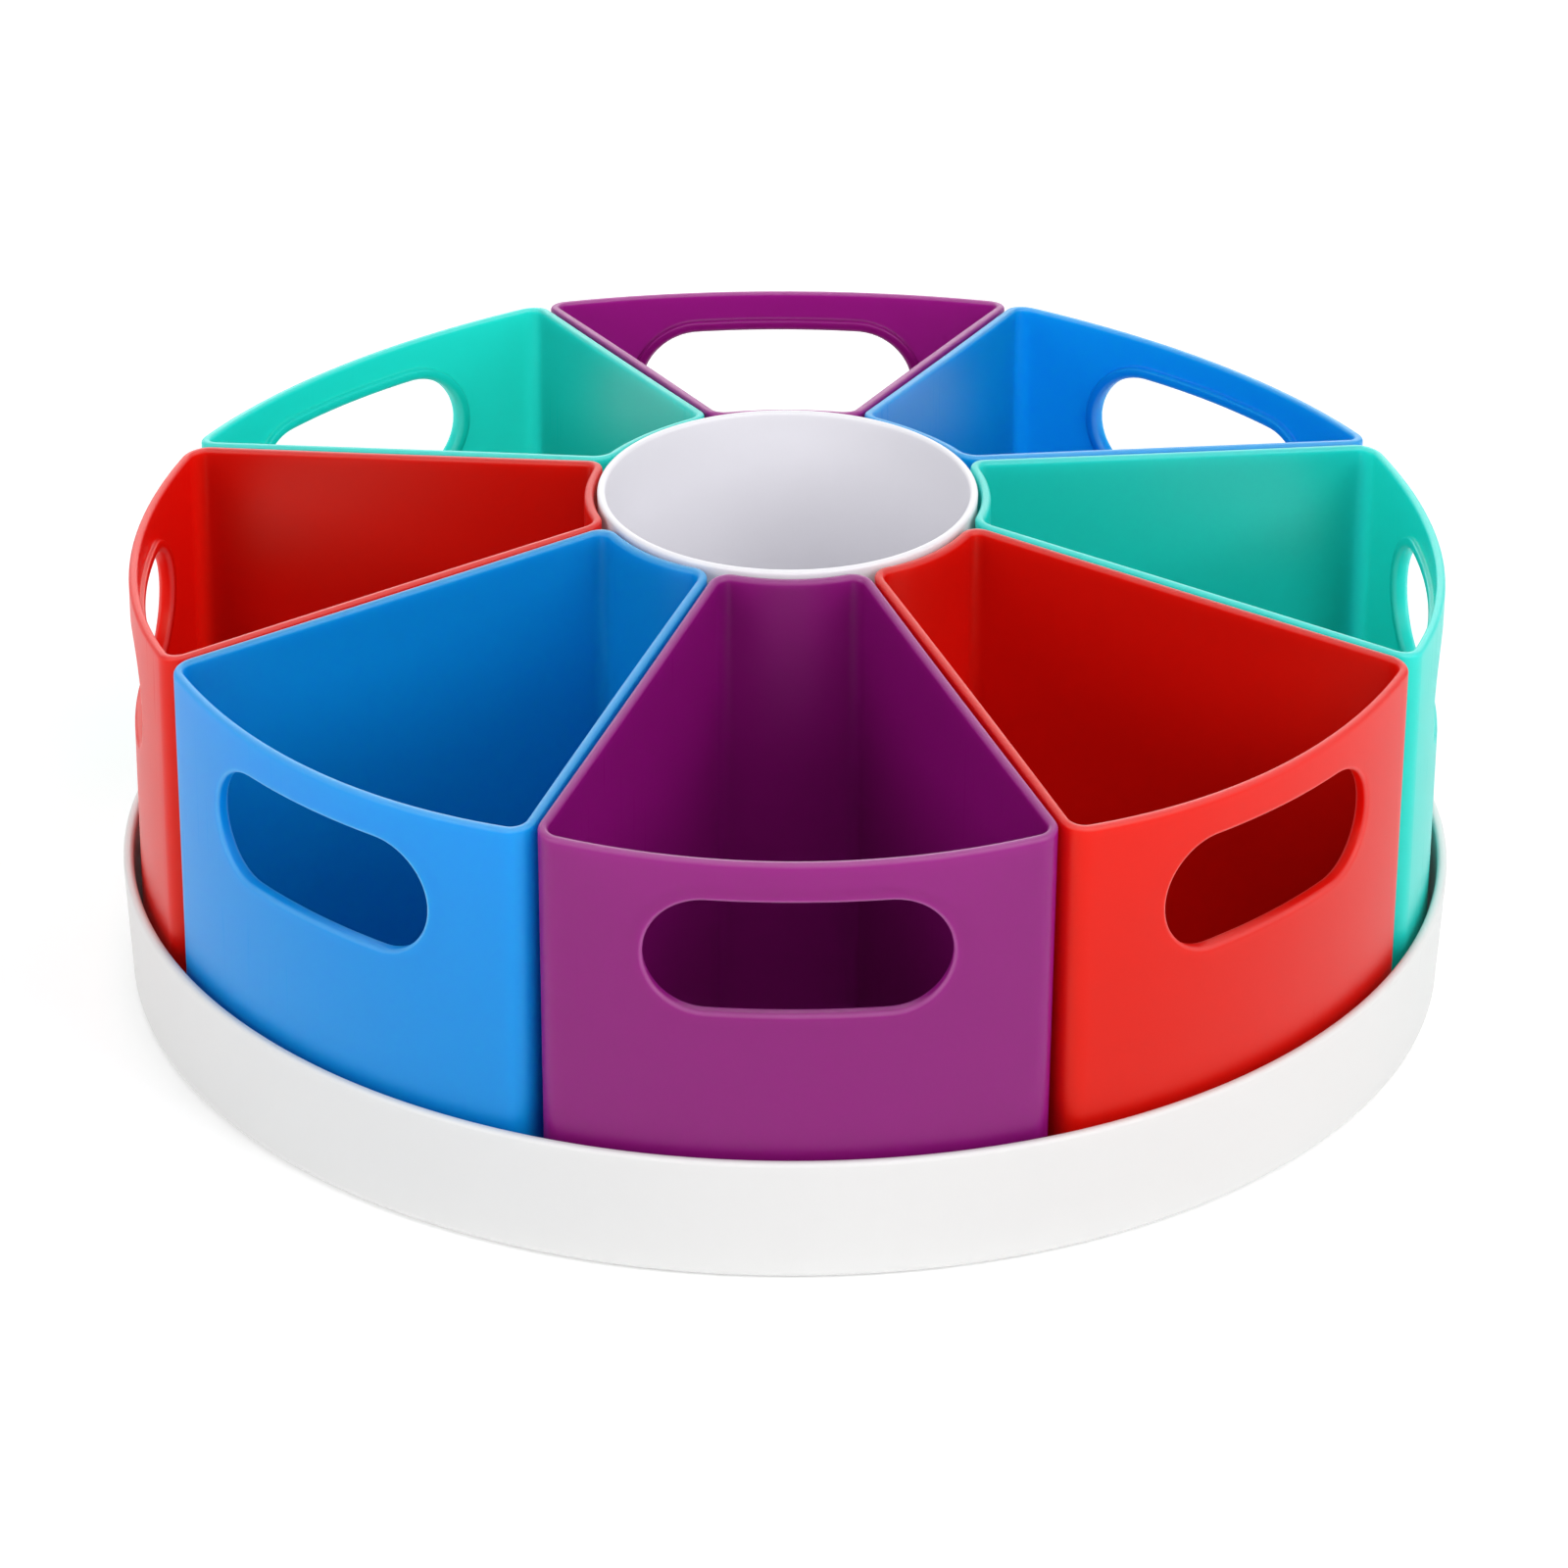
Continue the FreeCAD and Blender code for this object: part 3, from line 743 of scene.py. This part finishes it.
def joined(name, meshes):
    """One object from several meshes."""
    work = bmesh.new()
    materials = []
    for mesh in meshes:
        work.from_mesh(mesh)
        materials += [m for m in mesh.materials if m not in materials]
    result = bpy.data.meshes.new(name)
    work.to_mesh(result)
    work.free()
    for material in materials:
        result.materials.append(material)
    return new_object(name, result)


# ---- Effects that several materials share

def grain_group():
    """Height of a moulded surface: the fine grain of the mould and slow waves from cooling."""
    tree = Tree("Moulded Surface", "ShaderNodeTree", [
        ("Grain Scale", "Float", 1800.0), ("Grain Depth", "Float", 0.3),
        ("Wave Scale", "Float", 28.0), ("Wave Depth", "Float", 1.0)],
        [("Height", "Float")])
    place = tree.node("ShaderNodeTexCoord", out="Object")
    grain = tree.noise(place, scale=tree.given["Grain Scale"], detail=2.0)
    wave = tree.noise(place, scale=tree.given["Wave Scale"], detail=1.0, roughness=0.4)
    height = tree.math("ADD", tree.math("MULTIPLY", grain, tree.given["Grain Depth"]),
                       tree.math("MULTIPLY", wave, tree.given["Wave Depth"]))
    return tree.finish(Height=height)


def tone_group():
    """Colour of a moulding: faint flow marks, and a painted highlight that lightens the colour towards
    white on the rounded edges.
    """
    tree = Tree("Moulding Tone", "ShaderNodeTree", [
        ("Colour", "Color", None), ("Flow", "Float", 0.04),
        ("Edge Tone", "Float", 0.25)], [("Colour", "Color")])
    place = tree.node("ShaderNodeTexCoord", out="Object")
    flow = tree.noise(place, scale=14.0, detail=3.0, roughness=0.55, distortion=0.6)
    swing = tree.math("MULTIPLY", tree.math("SUBTRACT", flow, 0.5), tree.given["Flow"])
    value = tree.math("ADD", swing, 1.0)
    toned = tree.node("ShaderNodeHueSaturation", {
        "Color": tree.given["Colour"], "Value": value})
    # Painted highlight: the edge attribute mixes the colour towards white on the roundings.
    edge = tree.node("ShaderNodeAttribute", out="Fac", attribute_name="edge")
    share = tree.math("MULTIPLY", edge, tree.given["Edge Tone"], clamp=True)
    highlighted_colour = tree.node("ShaderNodeMix", {0: share, 6: toned, 7: (1.0, 1.0, 1.0, 1.0)}, 2, data_type="RGBA")
    return tree.finish(Colour=highlighted_colour)


def handling_group():
    """Mask of handling: faint hairline scuffs in patches, and the rubbed edges."""
    tree = Tree("Handling Marks", "ShaderNodeTree", [
        ("Amount", "Float", 0.5), ("Scale", "Float", 1.0)],
        [("Mask", "Float")])
    place = tree.node("ShaderNodeTexCoord", out="Object")
    strands = []
    for turn in (0.5, 1.9):
        laid = tree.node("ShaderNodeMapping", {
            "Vector": place, "Rotation": (turn, turn * 0.6, turn), "Scale": (900.0, 900.0, 26.0)})
        noise = tree.noise(laid, scale=tree.given["Scale"], detail=1.0)
        strands.append(tree.node("ShaderNodeMapRange", {0: noise, 1: 0.66, 2: 0.74}))
    lines = tree.math("MAXIMUM", strands[0], strands[1])
    patch = tree.noise(place, scale=34.0, detail=2.0)
    patchy = tree.node("ShaderNodeMapRange", {0: patch, 1: 0.48, 2: 0.68})
    edge = tree.node("ShaderNodeAttribute", out="Fac", attribute_name="edge")
    edge_weight = tree.math("MULTIPLY", edge, tree.math("ADD", patch, 0.2))
    marks = tree.math("ADD", tree.math("MULTIPLY", lines, patchy), edge_weight)
    mask = tree.math("MULTIPLY", marks, tree.given["Amount"], clamp=True)
    return tree.finish(Mask=mask)


def linear(colour):
    """A display colour as scene-linear RGBA."""
    parts = [c / 12.92 if c <= 0.04045 else ((c + 0.055) / 1.055) ** 2.4 for c in colour]
    return (*parts, 1.0)


class Material:
    """A material under construction, with a Principled BSDF that is fed from the shared effects."""

    def __init__(self, name):
        self.material = bpy.data.materials.new(name + "_finish")
        self.material.use_nodes = True
        self.nodes = self.material.node_tree.nodes
        self.links = self.material.node_tree.links
        self.shader = self.nodes["Principled BSDF"]

    def group(self, tree, **inputs):
        """The result of a shared effect, with its own values."""
        node = self.nodes.new("ShaderNodeGroup")
        node.node_tree = tree
        for key, value in inputs.items():
            node.inputs[key.replace("_", " ")].default_value = value
        return node.outputs[0]

    def feed(self, source, socket):
        """Feed one of the shader's sockets."""
        self.links.new(source, self.shader.inputs[socket])

    def set(self, **values):
        """Set constants on the shader's own sockets."""
        for key, value in values.items():
            self.shader.inputs[key.replace("_", " ")].default_value = value

    def bump(self, height, distance, strength):
        """Bump the surface by a height, in metres at full scale."""
        node = self.nodes.new("ShaderNodeBump")
        node.inputs["Distance"].default_value = distance
        node.inputs["Strength"].default_value = strength
        self.links.new(height, node.inputs["Height"])
        self.feed(node.outputs["Normal"], "Normal")

    def roughness(self, mask, low, high):
        """Roughness that rises from low to high with a mask."""
        node = self.nodes.new("ShaderNodeMapRange")
        node.inputs["To Min"].default_value = low
        node.inputs["To Max"].default_value = high
        self.links.new(mask, node.inputs["Value"])
        self.feed(node.outputs[0], "Roughness")


def moulding(name, colour, tone, marks, roughness, surface, bump):
    """A material from the shared effects, each with its own values."""
    made = Material(name)
    shared = bpy.data.node_groups
    made.feed(made.group(shared["Moulding Tone"], Colour=linear(colour), **tone), "Base Color")
    made.roughness(made.group(shared["Handling Marks"], **marks), *roughness)
    made.bump(made.group(shared["Moulded Surface"], **surface), *bump)
    return made


NEUTRAL = (1.0, 1.0, 1.0)
PLASTICS = [
    # name, colour, painted highlight on the edges, translucency, roughness, tint of the sheen
    ("purple_plastic", "purple", 0.05, 0.95, 0.36, NEUTRAL),
    ("red_plastic", "red", 0.05, 0.95, 0.36, (1.0, 0.75, 0.55)),
    ("teal_plastic", "teal", 0.06, 0.95, 0.36, NEUTRAL),
    ("blue_plastic", "blue", 0.06, 0.95, 0.36, (0.75, 1.0, 1.0)),
    ("white_plastic", "tray", 0.20, 0.1, 0.42, NEUTRAL),
    ("cup_plastic", "cup", 0.20, 0.1, 0.42, NEUTRAL),
]


def moulded_plastic(name, colour, painted_edge_highlight, glow, smooth, sheen):
    """Satin polypropylene: translucent where it is coloured, with a soft sheen."""
    # The edge value is a painted highlight that whitens the rounded edges.
    made = moulding(name, colour, dict(Flow=0.05, Edge_Tone=painted_edge_highlight), dict(Amount=0.7, Scale=1.0),
                    (smooth, smooth + 0.2), dict(Grain_Depth=0.10, Wave_Depth=1.0), (0.0003, 0.35))
    made.set(IOR=1.49, Specular_IOR_Level=0.35, Specular_Tint=(*sheen, 1.0), Subsurface_Weight=glow,
             Subsurface_Radius=(1.0, 1.0, 1.0), Subsurface_Scale=0.008)


def foot_rubber(colour):
    """Matt non-slip rubber."""
    # The edge value paints a faint highlight on the pad's roundings.
    moulding("foot_rubber", colour, dict(Flow=0.12, Edge_Tone=0.05), dict(Amount=1.0, Scale=1.4),
             (0.72, 0.9), dict(Grain_Depth=1.0, Wave_Depth=0.2), (0.0002, 0.6))


def finish(name):
    """One of the finished materials; the frame's own plain materials have the names without the ending."""
    return bpy.data.materials[name + "_finish"]


# ---- Operators: one for each group of pieces, and the stage

class ORGANIZER_OT_finishes(bpy.types.Operator):
    """Build the shared effects and the materials"""
    bl_idname = "organizer.finishes"
    bl_label = "Finishes"

    def execute(self, context):
        grain_group()
        tone_group()
        handling_group()
        placing_tree()
        turning_tree()
        repeating_tree()
        colours = context.scene.organizer_colours
        for name, colour, *look in PLASTICS:
            moulded_plastic(name, getattr(colours, colour), *look)
        foot_rubber(colours.rubber)
        return {"FINISHED"}


class ORGANIZER_OT_bins(bpy.types.Operator):
    """Mould one bin and set it in each of the places round the cup"""
    bl_idname = "organizer.bins"
    bl_label = "Bins"

    def execute(self, context):
        pattern = BinSurface(context.scene.organizer_bin).build()
        for index, (node, body, colour) in enumerate(BINS):
            slot = colour + "_plastic"
            turn = FIRST_TURN + index * 2 * HALF_PITCH
            mesh = grown(pattern.copy(), bpy.data.node_groups["Turn Into Place"], Turn=turn,
                         Finish=finish(slot))
            piece = new_object(node + "_moulding", mesh)
            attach(piece, body)
            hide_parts(node)
        bpy.data.meshes.remove(pattern)
        return {"FINISHED"}


class ORGANIZER_OT_cup(bpy.types.Operator):
    """Turn the centre cup"""
    bl_idname = "organizer.cup"
    bl_label = "Cup"

    def execute(self, context):
        section = cup_section(context.scene.organizer_cup)
        mesh = turned(section, "cup_section", 160, finish("cup_plastic"))
        piece = new_object("center_cup_moulding", mesh)
        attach(piece, "cup")
        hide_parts("center_cup")
        return {"FINISHED"}


class ORGANIZER_OT_tray(bpy.types.Operator):
    """Turn the tray and set the ribs and foot sockets under it"""
    bl_idname = "organizer.tray"
    bl_label = "Tray"

    def execute(self, context):
        sizes = context.scene.organizer_tray
        white = finish("white_plastic")
        outline = tray_section(sizes, context.scene.organizer_cup.draft)
        shell = turned(outline, "tray_section", 288, white)
        ribs = repeated(rib_mesh(sizes), sizes.rib_count, white, math.pi / sizes.rib_count)
        outline = ring_section(sizes.hub_radius - sizes.rib_width, sizes.hub_radius, sizes.recess)
        hub = turned(outline, "hub_section", 96, white)
        inner = (FOOT_HIGH.x - FOOT_LOW.x) / 2 + SOCKET_CLEARANCE
        outline = ring_section(inner, inner + sizes.socket_wall, sizes.recess)
        socket = turned(outline, "socket_section", 48, white, FOOT_PLACE)
        sockets = repeated(socket, len(FOOT_NODES), white)
        piece = joined("tray_moulding", [shell, ribs, hub, sockets])
        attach(piece, "tray")
        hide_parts("tray")
        return {"FINISHED"}


class ORGANIZER_OT_feet(bpy.types.Operator):
    """Turn one foot pad and repeat it in the sockets"""
    bl_idname = "organizer.feet"
    bl_label = "Feet"

    def execute(self, context):
        rubber = finish("foot_rubber")
        pad = turned(foot_section(), "foot_section", 64, rubber, FOOT_PLACE)
        pads = repeated(pad, len(FOOT_NODES), rubber)
        piece = new_object("foot_pads", pads)
        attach(piece, "tray")
        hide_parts(*FOOT_NODES)
        return {"FINISHED"}


LAMP_TARGET = (0.0, 0.0, 0.05)
LAMPS = [
    # name, place, width and height, watts
    ("top_softbox", (0.35, -1.1, 1.5), (1.4, 1.4), 11.5),
    ("back_softbox", (0.0, 1.7, 0.8), (2.4, 1.2), 27.0),
    ("left_softbox", (-1.7, -1.3, 1.0), (1.2, 1.2), 16.0),
    ("right_softbox", (1.6, -1.3, 1.1), (1.2, 1.2), 19.0),
]
SURROUND = 0.34  # strength of the light from all round
FLOOR_HALF = 4.0  # half of the floor's width
FLOOR_TONE, FLOOR_GLOW = 0.9, 0.22  # the floor's reflectance, and the light that it adds
ORBIT_CENTRE = (0.0, 0.0, 0.055)  # the camera's distance is counted from here
CAMERA_AIM = (-0.0004, 0.0, 0.0419)  # middle of the picture


def softbox(name, place, size, power):
    """A large soft lamp that faces the organizer."""
    lamp = bpy.data.lights.new(name, "AREA")
    lamp.shape = "RECTANGLE"
    lamp.size, lamp.size_y = size
    lamp.energy = power * bpy.context.scene.organizer_stage.light
    holder = linked(name, lamp)
    holder.location = place
    holder.rotation_euler = (Vector(LAMP_TARGET) - Vector(place)).to_track_quat("-Z", "Y").to_euler()


class ORGANIZER_OT_stage(bpy.types.Operator):
    """Lay the floor, hang the lamps and set up the camera"""
    bl_idname = "organizer.stage"
    bl_label = "Stage"

    def execute(self, context):
        stage = context.scene.organizer_stage
        self.floor()
        self.lamps(context)
        self.camera(context, stage)
        return {"FINISHED"}

    def floor(self):
        """A wide pale floor."""
        half = FLOOR_HALF
        mesh = bpy.data.meshes.new("floor")
        mesh.from_pydata([(-half, -half, 0), (half, -half, 0), (half, half, 0), (-half, half, 0)], [],
                         [(0, 1, 2, 3)])
        paper = Material("pale_paper")
        paper.set(Base_Color=(*[FLOOR_TONE] * 3, 1.0), Roughness=0.9, Specular_IOR_Level=0.1,
                  Emission_Color=(1.0, 1.0, 1.0, 1.0), Emission_Strength=FLOOR_GLOW)
        mesh.materials.append(paper.material)
        new_object("floor", mesh)

    def lamps(self, context):
        """Soft light from all four sides, and a pale surround."""
        for lamp in LAMPS:
            softbox(*lamp)
        world = bpy.data.worlds.new("pale_surround")
        world.use_nodes = True
        background = world.node_tree.nodes["Background"]
        background.inputs["Color"].default_value = (1.0, 1.0, 1.0, 1.0)
        background.inputs["Strength"].default_value = SURROUND
        context.scene.world = world
        context.scene.view_settings.view_transform = "Standard"

    def camera(self, context, stage):
        """A long lens, well above the rim, a little to the left of straight ahead."""
        level = math.cos(stage.elevation)
        back = Vector((-math.sin(stage.azimuth) * level, -math.cos(stage.azimuth) * level,
                       math.sin(stage.elevation)))
        data = bpy.data.cameras.new("camera")
        data.lens, data.sensor_width = stage.lens, 36.0
        data.clip_start, data.clip_end = 0.05, 20.0
        camera = linked("camera", data)
        camera.location = Vector(ORBIT_CENTRE) + back * stage.distance
        turn = (Vector(CAMERA_AIM) - camera.location).to_track_quat("-Z", "Y").to_matrix()
        roll = Vector((0.0, 0.0, 1.0))
        camera.rotation_euler = (turn @ Matrix.Rotation(stage.roll, 3, roll)).to_euler()
        context.scene.camera = camera


class ORGANIZER_PT_build(bpy.types.Panel):
    """Sidebar panel that lists the operators and the sizes"""
    bl_label = "Desk Organizer"
    bl_idname = "ORGANIZER_PT_build"
    bl_space_type = "VIEW_3D"
    bl_region_type = "UI"
    bl_category = "Organizer"

    def draw(self, context):
        for operator in OPERATORS:
            self.layout.operator(operator.bl_idname)
        for key in GROUPS:
            box = self.layout.box()
            box.label(text=key.replace("organizer_", "").title())
            group = getattr(context.scene, key)
            for prop in group.__annotations__:
                box.prop(group, prop)


OPERATORS = [ORGANIZER_OT_finishes, ORGANIZER_OT_bins, ORGANIZER_OT_cup, ORGANIZER_OT_tray,
             ORGANIZER_OT_feet, ORGANIZER_OT_stage]
GROUPS = {
    "organizer_bin": OrganizerBinSizes,
    "organizer_cup": OrganizerCupSizes,
    "organizer_tray": OrganizerTraySizes,
    "organizer_colours": OrganizerColours,
    "organizer_stage": OrganizerStage,
}


CLASSES = [*GROUPS.values(), *OPERATORS, ORGANIZER_PT_build]


def register():
    for part in CLASSES:
        bpy.utils.register_class(part)
    for key, group in GROUPS.items():
        setattr(bpy.types.Scene, key, PointerProperty(type=group))


def unregister():
    for key in GROUPS:
        delattr(bpy.types.Scene, key)
    for part in reversed(CLASSES):
        bpy.utils.unregister_class(part)


def main():
    """Build everything in order."""
    register()
    for step in ("finishes", "bins", "cup", "tray", "feet", "stage"):
        getattr(bpy.ops.organizer, step)()


if __name__ == "__main__":
    main()
